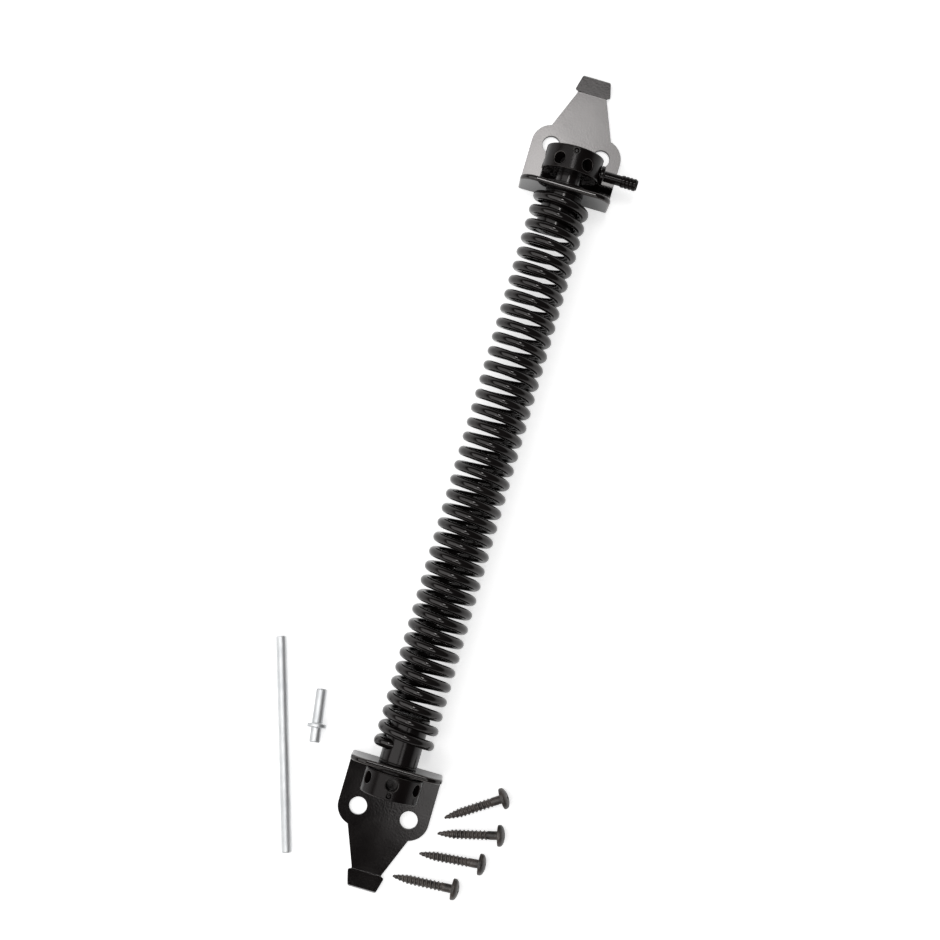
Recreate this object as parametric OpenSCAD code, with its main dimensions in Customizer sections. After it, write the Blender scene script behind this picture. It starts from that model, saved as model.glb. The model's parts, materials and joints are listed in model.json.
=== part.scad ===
// Gate spring closer: an open-wound torsion spring between two screw-on brackets.
// Each end of the spring grips a spindle that turns in its bracket's flange, and a drum with
// radial holes is pinned to the spindle so that a rod can wind the spring.
// The closer lies on its back plates, with its loose winding rod, collar pin and screws.
// Origin: midway between the lower bracket's screw holes, on the mounting plane.
// +Y runs along the spring to the upper bracket, and +Z points away from the plates.

/* [Bracket] */
// Thickness of the bracket's steel
plate_t = 2.2; // [1.6:0.1:2.8]
// Distance between a bracket's two screw holes
hole_spacing = 22; // [20:0.5:27]
// Diameter of a screw hole
screw_hole_d = 7.5; // [5:0.1:8.2]
// Radius of the ear around a screw hole
ear_r = 8.5; // [6.5:0.1:10]
// Distance from the screw hole line to the flange's spring side
flange_setback = 22; // [21:0.5:26]
// Height of the flange above the mounting plane
flange_h = 26; // [24:0.5:32]
// Radius of the flange's upper corners
flange_corner_r = 7; // [2:0.5:9]
// Inner radius of the bend between plate and flange
bend_r = 1; // [0.6:0.1:1.5]
// Width of the tongue where it leaves the screw hole line
tongue_root_w = 32.8; // [26:0.2:36]
// Width of the tongue's neck
neck_w = 12.2; // [9:0.2:15]
// Distance from the screw hole line to the neck
neck_reach = 25.8; // [20:0.2:32]
// Width across the lip's barbs
barb_w = 15.6; // [13:0.2:18]
// Width of the lip at its end
lip_end_w = 12.2; // [8:0.2:15]
// Length of the lip beyond the neck
lip_l = 7.4; // [5:0.2:10]
// How far the barbs stand behind the neck line
barb_setback = 0.6; // [0.3:0.1:1.5]
// Angle of the lip above the plate
lip_angle = 22; // [0:1:35]

/* [Spring] */
// Diameter of the spring wire
wire_d = 4.1; // [3:0.1:4.6]
// Mean diameter of the coil
coil_mean_d = 20.8; // [19:0.1:23]
// Distance from one curl to the next
coil_pitch = 6.2; // [5.4:0.1:8]
// Number of curls
coil_turns = 38; // [20:1:60]
// Angle of the first curl's start about the axis, from +X towards +Z
coil_start_angle = 173; // [0:1:359]
// Radius of the bend that turns each end of the wire inwards
tail_bend_r = 4.3; // [3.4:0.1:4.8]

/* [Winding head] */
// Height of the spring's axis above the mounting plane
axis_h = 15; // [15:0.1:17]
// Diameter of the spindle's journal
journal_d = 10.5; // [10.2:0.1:11.2]
// Distance from the lower spindle's shoulder to the wire's tail
lower_tail_offset = 7; // [2.6:0.1:12]
// Distance from the upper spindle's shoulder to the wire's tail
upper_tail_offset = 2.6; // [2.6:0.1:12]
// Length of plug beyond the wire's tail
plug_grip = 13.6; // [8:0.2:20]
// Height of the spindle's peened end beyond the drum
peen_h = 1.2; // [0.4:0.1:2]
// Diameter of a winding drum
drum_d = 24.5; // [22:0.1:24.6]
// Length of a winding drum
drum_l = 10.2; // [9.8:0.1:11]
// Chamfer on a drum's edges
drum_chamfer = 0.7; // [0.2:0.1:1.2]
// Number of winding holes around a drum
winding_holes = 6; // [4:1:6]
// Diameter of a winding hole
winding_hole_d = 5; // [4.9:0.05:5.3]
// Distance from the drum's inner face to the winding holes
hole_row_setback = 3.9; // [3.4:0.1:4.2]
// Wall between a winding hole's floor and the drum's bore
winding_floor_w = 0.6; // [0.4:0.05:1.2]
// Angle of the lower drum's first winding hole, from +X towards +Z
lower_hole_angle = 30; // [0:1:60]
// Diameter of the pin that locks a drum to its spindle
lock_pin_d = 2; // [1.6:0.1:2.2]
// Distance that the upper drum stands off its washer
upper_drum_gap = 5; // [0:0.1:5.4]
// Thickness of the washer between drum and flange
thrust_washer_t = 1; // [0.6:0.1:1.5]
// Outer diameter of the washer between drum and flange
thrust_washer_d = 20; // [16:0.5:22]
// Thickness of the washer between flange and spindle shoulder
seat_washer_t = 0.8; // [0.6:0.1:1.5]
// Outer diameter of the washer between flange and spindle shoulder
seat_washer_d = 16; // [13:0.5:16]

/* [Stop pins] */
// Diameter of a stop pin
pin_d = 4.5; // [4:0.05:4.7]
// Length of pin that stands out of the drum
pin_free_l = 14.6; // [10:0.2:18]
// Diameter of the pin's collar
collar_d = 8; // [6.5:0.1:9]
// Thickness of the pin's collar
collar_t = 1.6; // [1:0.1:2.4]
// Diameter of the fitted stop pin's ridged end
ridge_d = 5.2; // [4.8:0.1:6]
// Number of ridges on the fitted stop pin's end
ridge_count = 4; // [2:1:6]
// Distance from one ridge to the next
ridge_pitch = 1.6; // [1.2:0.1:2]
// Width of a ridge's flat top
ridge_land_w = 1; // [0.5:0.1:1.1]

/* [Loose kit] */
// Diameter of the winding rod
rod_d = 4.4; // [4:0.1:4.7]
// Length of the winding rod
rod_l = 90; // [70:1:110]
// Distance from the closer's axis to the middle of the loose rod
rod_aside = 48; // [46:0.5:60]
// Distance from the lower screw holes to the middle of the loose rod
rod_along = 16; // [0:0.5:40]
// Heading of the loose rod, from +X towards +Y
rod_heading = 108; // [100:1:120]
// Distance from the closer's axis to the loose pin's collar
pin_aside = 37; // [32:0.5:38]
// Distance from the lower screw holes to the loose pin's collar
pin_along = 28; // [20:0.5:60]
// Heading of the loose pin, from +X towards +Y
pin_heading = 99; // [90:1:110]
// Chamfer on the ends of rods and pins
end_chamfer = 0.5; // [0.2:0.1:0.8]
// Diameter of a mounting screw's thread
screw_d = 4.2; // [3.5:0.1:5]
// Diameter of a mounting screw's thread at its root
screw_core_d = 2.9; // [2.4:0.1:3.4]
// Length of a mounting screw below its head
screw_l = 25.4; // [19:0.1:32]
// Length of a mounting screw's point
screw_point_l = 7; // [5:0.1:9]
// Length of plain shank under a mounting screw's head
screw_plain_l = 3.4; // [2:0.1:6]
// Distance from one thread to the next on a mounting screw
thread_pitch = 1.7; // [1.2:0.1:2.2]
// Diameter of a mounting screw's head
screw_head_d = 9; // [8:0.1:10]
// Height of a mounting screw's head
screw_head_h = 3; // [2.4:0.1:3.6]
// Width of a blade of the head's cross recess
recess_w = 1; // [0.8:0.1:1.4]
// Length of a blade of the head's cross recess
recess_l = 4.6; // [3:0.1:5]
// Depth of the head's cross recess
recess_depth = 1.8; // [1:0.1:2]
// Distances from the closer's axis to the points of the loose screws
screw_asides = [25, 24, 19, 11]; // [10:0.5:40]
// Distances from the lower screw holes to the points of the loose screws
screw_alongs = [5, -2, -12, -24]; // [-40:0.5:20]
// Headings of the loose screws, from +X towards +Y
screw_headings = [35, 15, 7, 5]; // [0:1:45]

/* [Clearances] */
// Radial room of a journal in its flange
running_clear = 0.1; // [0.05:0.01:0.1]
// Radial room of a drum on its journal
slip_clear = 0.05; // [0.02:0.01:0.08]
// Radial room of a lock pin in its hole
lock_clear = 0.03; // [0.01:0.01:0.05]
// End play of a head in its bracket, on each side of the flange
end_play = 0.1; // [0.05:0.05:0.3]
// Radial room of a washer on its journal
washer_clear = 0.3; // [0.2:0.05:0.5]
// Radial room between the plug and the inside of the coil
plug_clear = 0.35; // [0.3:0.05:0.6]
// Room around the wire's tail in its slot
tail_clear = 0.25; // [0.2:0.05:0.3]
// Room between the wire's cut end and the floor of its slot
tail_floor_gap = 0.05; // [0.02:0.01:0.1]
// Room between a pin's collar and the drum
collar_gap = 0.05; // [0.02:0.01:0.2]
// Room between a pin's inner end and the floor of its winding hole
pin_end_gap = 0.2; // [0.1:0.05:1]

/* [Hidden] */
$fn = 64;
cut = 0.5;
black = [0.07, 0.07, 0.08];
zinc = [0.76, 0.78, 0.79];
oxide = [0.14, 0.12, 0.11];

plate_w = hole_spacing + 2 * ear_r;
bend_outer_r = bend_r + plate_t;
lip_taper = (barb_w - lip_end_w) / 2 / (lip_l - barb_setback);
journal_r = journal_d / 2;
wire_r = wire_d / 2;
plug_r = (coil_mean_d - wire_d) / 2 - plug_clear;
drum_bore_r = journal_r + slip_clear;
winding_floor_r = drum_bore_r + winding_floor_w;
pin_seat_l = drum_d / 2 + collar_gap - winding_floor_r - pin_end_gap;

// Places along a head's own axis, from the flange's spring side towards the spring
shoulder_s = end_play + seat_washer_t;
drum_inner_s = -plate_t - end_play - thrust_washer_t;
drum_outer_s = drum_inner_s - drum_l;
hole_row_s = drum_inner_s - hole_row_setback;
lock_pin_s = (hole_row_s - winding_hole_d / 2 + drum_outer_s) / 2;

// Places along the closer
spring_l = coil_turns * coil_pitch;
spring_start_y = flange_setback + shoulder_s + lower_tail_offset;
spring_end_y = spring_start_y + spring_l;
upper_flange_y = spring_end_y + upper_tail_offset + shoulder_s;
hole_line_span = upper_flange_y + flange_setback;
coil_end_angle = coil_start_angle + 360 * coil_turns;

// The wire is swept through rings, and its ring centres stand out a little so that the
// straight runs between them keep the coil's mean diameter
rings_per_turn = 8;
wire_sides = 6;
tail_bend_steps = 3;
helix_rings = round(coil_turns * rings_per_turn);
coil_point_r = coil_mean_d / (1 + cos(180 / rings_per_turn));
tail_straight_l = wire_d;
tail_end_r = coil_point_r - tail_bend_r - tail_straight_l;

// Bent sheet bracket: plate, ears, tongue, lip and flange

// Right half of the tongue and its lip, seen from above
tongue_half = [
    [tongue_root_w / 2, 0],
    [neck_w / 2, -neck_reach],
    [barb_w / 2, -neck_reach - barb_setback * cos(lip_angle)],
    [lip_end_w / 2 - lip_taper * cut, -neck_reach - (lip_l + cut) * cos(lip_angle)]];

module plate_outline() {
    left_half = [for (i = [len(tongue_half) - 1 : -1 : 0]) [-tongue_half[i][0], tongue_half[i][1]]];
    translate([-plate_w / 2, 0]) square([plate_w, flange_setback - bend_outer_r]);
    for (side = [-1, 1]) translate([side * hole_spacing / 2, 0]) circle(ear_r);
    polygon(concat(tongue_half, left_half));
}

// The sheet seen from its side, flat up to the neck and then bent up along the lip
module plate_profile() {
    lip_end = [-neck_reach - lip_l * cos(lip_angle), lip_l * sin(lip_angle)];
    polygon([
        [flange_setback - bend_outer_r, 0],
        [-neck_reach, 0],
        lip_end,
        lip_end + plate_t * [sin(lip_angle), cos(lip_angle)],
        [-neck_reach + plate_t * tan(lip_angle / 2), plate_t],
        [flange_setback - bend_outer_r, plate_t]]);
}

module plate() {
    intersection() {
        translate([0, 0, -cut]) linear_extrude(lip_l + plate_t + 2 * cut) plate_outline();
        translate([-plate_w, 0, 0]) rotate([90, 0, 90]) linear_extrude(2 * plate_w) plate_profile();
    }
}

module flange_outline() {
    straight_h = flange_h - flange_corner_r;
    corner_x = plate_w / 2 - flange_corner_r;
    translate([-plate_w / 2, bend_outer_r]) square([plate_w, straight_h - bend_outer_r]);
    translate([-corner_x, bend_outer_r]) square([2 * corner_x, flange_h - bend_outer_r]);
    for (side = [-1, 1]) translate([side * corner_x, straight_h]) circle(flange_corner_r);
}

module bend_profile() {
    intersection() {
        difference() {
            circle(bend_outer_r);
            circle(bend_r);
        }
        translate([0, -bend_outer_r]) square(bend_outer_r);
    }
}

module bracket() {
    difference() {
        union() {
            plate();
            translate([0, flange_setback, 0]) rotate([90, 0, 0]) linear_extrude(plate_t) flange_outline();
            translate([-plate_w / 2, flange_setback - bend_outer_r, bend_outer_r])
                rotate([90, 0, 90]) linear_extrude(plate_w) bend_profile();
        }
        for (side = [-1, 1])
            translate([side * hole_spacing / 2, 0, -cut]) cylinder(d = screw_hole_d, h = plate_t + 2 * cut);
        translate([0, flange_setback + cut, axis_h])
            rotate([90, 0, 0]) cylinder(r = journal_r + running_clear, h = plate_t + 2 * cut);
    }
}

// Winding head pieces, along +Y with the flange's spring side at the origin

module along_y() {
    rotate([-90, 0, 0]) children();
}

module spindle_body(tail_offset, drum_gap) {
    journal_end_s = drum_outer_s - drum_gap;
    plug_end_s = shoulder_s + tail_offset + plug_grip;
    plug_chamfer = 1;
    peen_r = journal_r - peen_h;
    along_y() rotate_extrude() polygon([
        [0, journal_end_s - peen_h],
        [peen_r, journal_end_s - peen_h],
        [journal_r, journal_end_s],
        [journal_r, shoulder_s],
        [plug_r, shoulder_s],
        [plug_r, plug_end_s - plug_chamfer],
        [plug_r - plug_chamfer, plug_end_s],
        [0, plug_end_s]]);
}

module tail_slot(tail_offset, tail_angle) {
    slot_w = wire_d + 2 * tail_clear;
    floor_r = tail_end_r - tail_floor_gap;
    rotate([0, -tail_angle, 0])
        translate([floor_r, shoulder_s + tail_offset - slot_w / 2, -tail_bend_r - slot_w / 2])
            cube([coil_point_r - floor_r, slot_w, slot_w]);
}

module lock_hole() {
    translate([0, lock_pin_s, -drum_d]) cylinder(d = lock_pin_d + 2 * lock_clear, h = 2 * drum_d);
}

module spindle(tail_offset, tail_angle, drum_gap) {
    difference() {
        spindle_body(tail_offset, drum_gap);
        tail_slot(tail_offset, tail_angle);
        translate([0, -drum_gap, 0]) lock_hole();
    }
}

module drum(first_hole_angle) {
    difference() {
        along_y() rotate_extrude() polygon([
            [drum_bore_r, drum_outer_s],
            [drum_d / 2 - drum_chamfer, drum_outer_s],
            [drum_d / 2, drum_outer_s + drum_chamfer],
            [drum_d / 2, drum_inner_s - drum_chamfer],
            [drum_d / 2 - drum_chamfer, drum_inner_s],
            [drum_bore_r, drum_inner_s]]);
        for (hole = [0 : winding_holes - 1])
            rotate([0, -first_hole_angle - hole * 360 / winding_holes, 0])
                translate([winding_floor_r, hole_row_s, 0])
                    rotate([0, 90, 0]) cylinder(d = winding_hole_d, h = drum_d);
        lock_hole();
    }
}

module lock_pin() {
    pin_l = drum_d - 2 * drum_chamfer;
    translate([0, lock_pin_s, -pin_l / 2]) cylinder(d = lock_pin_d, h = pin_l);
}

module washer(from_s, thickness, outer_d) {
    along_y() translate([0, 0, from_s]) difference() {
        cylinder(d = outer_d, h = thickness);
        translate([0, 0, -cut]) cylinder(r = journal_r + washer_clear, h = thickness + 2 * cut);
    }
}

module thrust_washer() {
    washer(drum_inner_s, thrust_washer_t, thrust_washer_d);
}

module seat_washer() {
    washer(end_play, seat_washer_t, seat_washer_d);
}

module at_lower_head() {
    translate([0, flange_setback, axis_h]) children();
}

module at_upper_head() {
    translate([0, upper_flange_y, axis_h]) rotate([0, 0, 180]) children();
}

// Torsion spring: one wire, with both ends turned inwards into the spindles' slots

function outward(angle) = [cos(angle), 0, sin(angle)];
function onward(angle) = [-sin(angle), 0, cos(angle)];
function on_axis(y) = [0, y, axis_h];
function unit(v) = v / norm(v);

// A ring is its centre, its outward direction and the wire's direction
function helix_ring(i) =
    let (share = i / helix_rings,
        angle = coil_start_angle + share * 360 * coil_turns,
        climb = [0, coil_pitch, 0] + 2 * PI * coil_point_r * onward(angle))
    [on_axis(spring_start_y + share * spring_l) + coil_point_r * outward(angle), outward(angle), unit(climb)];

function bend_ring(angle, y, way, bend) =
    let (out = outward(angle),
        side = way * onward(angle),
        centre_r = coil_point_r - tail_bend_r,
        arm = cos(bend) * out + sin(bend) * side)
    [on_axis(y) + centre_r * out + tail_bend_r * arm, arm, way * (cos(bend) * side - sin(bend) * out)];

function cut_end_ring(angle, y, way) =
    let (out = outward(angle), side = way * onward(angle))
    [on_axis(y) + tail_end_r * out + tail_bend_r * side, side, -way * out];

function wire_rings() =
    let (step = 90 / tail_bend_steps)
    concat(
        [cut_end_ring(coil_start_angle, spring_start_y, -1)],
        [for (k = [tail_bend_steps : -1 : 1]) bend_ring(coil_start_angle, spring_start_y, -1, k * step)],
        [for (i = [0 : helix_rings]) helix_ring(i)],
        [for (k = [1 : tail_bend_steps]) bend_ring(coil_end_angle, spring_end_y, 1, k * step)],
        [cut_end_ring(coil_end_angle, spring_end_y, 1)]);

function ring_points(ring) =
    let (across = cross(ring[2], ring[1]), half_side = 180 / wire_sides)
    [for (k = [0 : wire_sides - 1])
        let (q = half_side + k * 360 / wire_sides)
        ring[0] + wire_r * (cos(q) * ring[1] + sin(q) * across)];

function tube_faces(ring_count) =
    let (n = wire_sides, last = (ring_count - 1) * n)
    concat(
        [for (k = [1 : n - 2]) [0, k, k + 1]],
        [for (j = [0 : ring_count - 2]) for (k = [0 : n - 1])
            [j * n + k, j * n + n + k, j * n + n + (k + 1) % n]],
        [for (j = [0 : ring_count - 2]) for (k = [0 : n - 1])
            [j * n + k, j * n + n + (k + 1) % n, j * n + (k + 1) % n]],
        [for (k = [1 : n - 2]) [last, last + k + 1, last + k]]);

// Least distance between the points of rings that are from over half a turn to one and a half turns apart
function least_gap(loops) =
    let (nearest = rings_per_turn / 2 + 1, farthest = rings_per_turn * 3 / 2, last = len(loops) - 1)
    min([for (i = [0 : last - nearest]) for (j = [i + nearest : min(i + farthest, last)])
        for (p = loops[i]) for (q = loops[j]) norm(p - q)]);

module wire() {
    loops = [for (ring = wire_rings()) ring_points(ring)];
    echo(str("least gap of the spring wire to itself, mm: ", least_gap(loops)));
    polyhedron(points = [for (loop = loops) each loop], faces = tube_faces(len(loops)));
}

// Pins, rod and screws, turned about +Z

module collared_pin(ridges) {
    r = pin_d / 2;
    collar_top = pin_seat_l + collar_t;
    pin_l = collar_top + pin_free_l;
    rotate_extrude() {
        polygon([
            [0, 0],
            [r - end_chamfer, 0],
            [r, end_chamfer],
            [r, pin_seat_l],
            [collar_d / 2, pin_seat_l],
            [collar_d / 2, collar_top],
            [r, collar_top],
            [r, pin_l - end_chamfer],
            [r - end_chamfer, pin_l],
            [0, pin_l]]);
        for (k = [1 : 1 : ridges]) ridge_outline(pin_l - end_chamfer - k * ridge_pitch);
    }
}

module ridge_outline(base) {
    slope = (ridge_pitch - ridge_land_w) / 2;
    polygon([
        [0, base],
        [pin_d / 2, base],
        [ridge_d / 2, base + slope],
        [ridge_d / 2, base + slope + ridge_land_w],
        [pin_d / 2, base + ridge_pitch],
        [0, base + ridge_pitch]]);
}

module rod_body() {
    r = rod_d / 2;
    rotate_extrude() polygon([
        [0, 0],
        [r - end_chamfer, 0],
        [r, end_chamfer],
        [r, rod_l - end_chamfer],
        [r - end_chamfer, rod_l],
        [0, rod_l]]);
}

function point_share(s) = min(1, (s + thread_pitch / 2) / (screw_point_l + thread_pitch / 2));

module screw_body() {
    thread_l = screw_l - screw_plain_l;
    threads = floor(thread_l / thread_pitch);
    shank_r = (screw_d + screw_core_d) / 4;
    rim_h = screw_head_h / 3;
    dome_h = screw_head_h - rim_h;
    flank = [for (i = [0 : threads - 1])
        let (root_s = i * thread_pitch, crest_s = (i + 0.5) * thread_pitch)
        each [
            [screw_core_d / 2 * point_share(root_s), root_s],
            [screw_d / 2 * point_share(crest_s), crest_s]]];
    dome = [for (turn = [0 : 15 : 90]) [screw_head_d / 2 * cos(turn), screw_l + rim_h + dome_h * sin(turn)]];
    difference() {
        rotate_extrude() polygon(concat(
            [[0, 0]],
            flank,
            [[screw_core_d / 2, threads * thread_pitch], [shank_r, threads * thread_pitch + thread_pitch / 2],
                [shank_r, screw_l], [screw_head_d / 2, screw_l]],
            dome));
        for (quarter = [0, 90]) rotate([0, 0, quarter])
            translate([-recess_l / 2, -recess_w / 2, screw_l + screw_head_h - recess_depth])
                cube([recess_l, recess_w, recess_depth + cut]);
    }
}

// Each loose piece lies on the floor with its heading, tilted until its two widest rims touch down

module lying(at, heading, tilt) {
    translate(at) rotate([0, 0, heading]) rotate([0, 90 - tilt, 0]) children();
}

module lying_pin() {
    tilt = atan((collar_d - pin_d) / 2 / pin_free_l);
    collar_top = pin_seat_l + collar_t;
    lying([-pin_aside, pin_along, collar_d / 2 * cos(tilt)], pin_heading, -tilt)
        translate([0, 0, -collar_top]) collared_pin(0);
}

module lying_screw(number) {
    tilt = atan((screw_head_d - screw_d) / 2 / (screw_l - screw_point_l));
    tip_h = screw_d / 2 * cos(tilt) - screw_point_l * sin(tilt);
    lying([screw_asides[number], screw_alongs[number], tip_h], screw_headings[number], tilt) screw_body();
}

// The sub-parts

module lower_bracket() {
    color(black) bracket();
}

module upper_bracket() {
    color(black) translate([0, hole_line_span, 0]) rotate([0, 0, 180]) bracket();
}

module torsion_spring() {
    color(black) wire();
}

module lower_spindle() {
    color(black) at_lower_head() spindle(lower_tail_offset, coil_start_angle, 0);
}

module upper_spindle() {
    color(black) at_upper_head() spindle(upper_tail_offset, 180 - coil_end_angle, upper_drum_gap);
}

module lower_drum() {
    color(black) at_lower_head() drum(lower_hole_angle);
}

module upper_drum() {
    color(black) at_upper_head() translate([0, -upper_drum_gap, 0]) drum(180);
}

module lower_lock_pin() {
    color(black) at_lower_head() lock_pin();
}

module upper_lock_pin() {
    color(black) at_upper_head() translate([0, -upper_drum_gap, 0]) lock_pin();
}

module lower_thrust_washer() {
    color(black) at_lower_head() thrust_washer();
}

module upper_thrust_washer() {
    color(black) at_upper_head() thrust_washer();
}

module lower_seat_washer() {
    color(black) at_lower_head() seat_washer();
}

module upper_seat_washer() {
    color(black) at_upper_head() seat_washer();
}

module stop_pin() {
    collar_r = drum_d / 2 + collar_gap;
    hole_row_y = upper_flange_y - hole_row_s + upper_drum_gap;
    color(black) translate([collar_r - pin_seat_l, hole_row_y, axis_h])
        rotate([0, 90, 0]) collared_pin(ridge_count);
}

module winding_rod() {
    color(zinc) lying([-rod_aside, rod_along, rod_d / 2], rod_heading, 0)
        translate([0, 0, -rod_l / 2]) rod_body();
}

module collar_pin() {
    color(zinc) lying_pin();
}

module mounting_screw_1() {
    color(oxide) lying_screw(0);
}

module mounting_screw_2() {
    color(oxide) lying_screw(1);
}

module mounting_screw_3() {
    color(oxide) lying_screw(2);
}

module mounting_screw_4() {
    color(oxide) lying_screw(3);
}

lower_bracket();
upper_bracket();
torsion_spring();
lower_spindle();
upper_spindle();
lower_drum();
upper_drum();
lower_lock_pin();
upper_lock_pin();
lower_thrust_washer();
upper_thrust_washer();
lower_seat_washer();
upper_seat_washer();
stop_pin();
winding_rod();
collar_pin();
mounting_screw_1();
mounting_screw_2();
mounting_screw_3();
mounting_screw_4();
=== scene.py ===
"""Gate spring closer: finished pieces, paint, plating and studio light around the closer's solids."""

import json
import math

import bmesh
import bpy
from bpy.props import FloatProperty, FloatVectorProperty, IntProperty, PointerProperty
from mathutils import Matrix, Vector
from mathutils.geometry import delaunay_2d_cdt, intersect_line_sphere_2d
from mathutils.kdtree import KDTree


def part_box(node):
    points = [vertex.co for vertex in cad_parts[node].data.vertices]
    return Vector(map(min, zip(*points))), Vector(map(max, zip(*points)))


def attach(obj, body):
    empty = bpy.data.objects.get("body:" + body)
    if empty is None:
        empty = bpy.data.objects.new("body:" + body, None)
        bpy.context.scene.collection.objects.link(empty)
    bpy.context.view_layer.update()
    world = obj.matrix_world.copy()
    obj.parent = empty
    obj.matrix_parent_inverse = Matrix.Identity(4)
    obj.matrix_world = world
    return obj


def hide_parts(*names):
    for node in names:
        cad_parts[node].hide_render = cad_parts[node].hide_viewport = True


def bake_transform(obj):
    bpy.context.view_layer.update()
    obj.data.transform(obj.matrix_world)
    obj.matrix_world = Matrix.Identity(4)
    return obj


bl_info = {
    "name": "Gate spring closer",
    "version": (1, 0, 0),
    "blender": (4, 5, 0),
    "location": "View3D > Sidebar > Closer",
    "description": "Builds the finished pieces of a gate spring closer around its solids",
    "category": "Object",
}

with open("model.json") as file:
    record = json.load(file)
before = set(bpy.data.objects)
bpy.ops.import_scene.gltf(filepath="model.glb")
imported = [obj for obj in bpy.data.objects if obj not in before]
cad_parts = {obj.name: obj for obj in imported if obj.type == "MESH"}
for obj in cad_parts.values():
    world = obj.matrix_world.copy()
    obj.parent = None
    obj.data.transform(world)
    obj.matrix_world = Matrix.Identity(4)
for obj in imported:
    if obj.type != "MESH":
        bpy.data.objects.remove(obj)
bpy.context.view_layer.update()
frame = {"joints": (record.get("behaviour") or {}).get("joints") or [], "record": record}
MM = 0.001
TINY = 1e-7
WELD = 2e-6
SLACK = 0.05 * MM
QUARTER = math.pi / 2
ARC_STEP = math.radians(15)
ARC_CHORD = 0.4 * MM
HARD_EDGE = math.radians(48)
TURNED_SIDES = 64
WIRE_SIDES = 18
BORE_SIDES = 32
WINDING_HOLE_COUNT = 6


def named(rows, name):
    """The row of that name among the record's mounts or joints."""
    return next(row for row in rows if row["name"] == name)


def reach(node, axis):
    """How far a node of the frame extends along an axis."""
    low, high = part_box(node)
    return high[axis] - low[axis]


MOUNTS = frame["record"]["mounts"]
HOLES = named(MOUNTS, "lower_screw_holes")["dims"]
SPAN = named(MOUNTS, "upper_screw_holes")["pos_m"][1]
AXIS_HEIGHT = named(frame["joints"], "lower_head_turn")["pos_m"][2]
BRACKET_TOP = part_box("lower_bracket")[1]
WINDING_HOLES = {
    "lower": named(MOUNTS, "lower_winding_hole_30"),
    "upper": named(MOUNTS, "upper_winding_hole_60"),
}
SPRING_TWIST = named(frame["joints"], "spring_twist")


# Sizes and colours that a user would change


def length(label, text, default):
    """A size in metres."""
    return FloatProperty(name=label, description=text, default=default, precision=5, unit="LENGTH")


def lengths(label, text, default):
    """A row of distances or coordinates in metres."""
    return FloatVectorProperty(name=label, description=text, default=default, size=len(default),
                               unit="LENGTH")


def angle(label, text, degrees):
    """An angle, given in degrees."""
    return FloatProperty(name=label, description=text, default=math.radians(degrees), subtype="ANGLE")


def tint(label, text, default):
    """A linear colour."""
    return FloatVectorProperty(name=label, description=text, default=default, min=0.0, max=1.0,
                               subtype="COLOR")


class BracketSizes(bpy.types.PropertyGroup):
    """Sizes of the bent sheet brackets."""

    sheet: length("Sheet", "Thickness of the steel", 2.2 * MM)
    edge: length("Edge", "Rounding of the plate's edges under the paint", 0.1 * MM)
    flange_edge: length("Flange edge", "Rounding of the flange's edges under the paint", 0.8 * MM)
    half_width: length("Half width", "Half the width over the ears", reach("lower_bracket", 0) / 2)
    hole_pitch: length("Hole pitch", "Distance between the screw holes", HOLES["spacing_x_mm"] * MM)
    hole_radius: length("Hole radius", "Radius of a screw hole", HOLES["hole_r_mm"] * MM)
    setback: length("Setback", "Distance from the screw holes to the flange's spring side", BRACKET_TOP.y)
    height: length("Height", "Height of the flange", BRACKET_TOP.z)
    corner: length("Corner", "Radius of the flange's upper corners", 7 * MM)
    bend: length("Bend", "Inner radius of the flange's bend", 1 * MM)
    bore: length("Bore", "Radius of the flange's bore", 5.35 * MM)
    root: length("Root", "Width of the tongue at the screw holes", 32.8 * MM)
    neck: length("Neck", "Width of the tongue's neck", 12.2 * MM)
    neck_reach: length("Neck reach", "Distance from the screw holes to the neck", 25.8 * MM)
    barb: length("Barb", "Width over the barbs of the lip", 15.6 * MM)
    barb_step: length("Barb step", "Distance from the neck to the barbs", 0.6 * MM)
    lip_end: length("Lip end", "Width of the lip's end", 12.2 * MM)
    lip: length("Lip", "Length of the lip", 7.4 * MM)
    lip_bend: length("Lip bend", "Inner radius of the lip's bend", 0.3 * MM)
    lip_angle: angle("Lip angle", "Angle of the lip above the plate", 22)

    def bend_start(self):
        """Where the flange's bend begins on the blank."""
        return self.setback - self.bend - self.sheet

    def bend_run(self):
        """Length of the flange's bend along the middle of the sheet."""
        return (self.bend + self.sheet / 2) * QUARTER

    def lip_start(self):
        """Where the lip's bend begins on the blank."""
        kink = -self.neck_reach + self.sheet / 2 * math.tan(self.lip_angle / 2)
        return kink + (self.lip_bend + self.sheet / 2) * math.tan(self.lip_angle / 2)

    def lip_run(self):
        """Length of the lip's bend along the middle of the sheet."""
        return (self.lip_bend + self.sheet / 2) * self.lip_angle


class SpringSizes(bpy.types.PropertyGroup):
    """Sizes of the torsion spring."""

    wire: length("Wire", "Radius of the wire", 2.05 * MM)
    coil: length("Coil", "Mean radius of the coil", 10.4 * MM)
    turns: IntProperty(name="Turns", description="Number of curls", default=38)
    start: angle("Start", "Angle of the first curl from +X towards +Z", 173)
    lower_end: length("Lower end", "Where the coil starts along the closer",
                      SPRING_TWIST["deforming_nodes"][0]["fixed_end_y_m"])
    pitch: length("Pitch", "Distance from one curl to the next", 6.2 * MM)
    tail_bend: length("Tail bend", "Radius of the bend at each end of the wire", 4.3 * MM)
    tail: length("Tail", "Length of the straight end in the spindle", 4.1 * MM)


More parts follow.
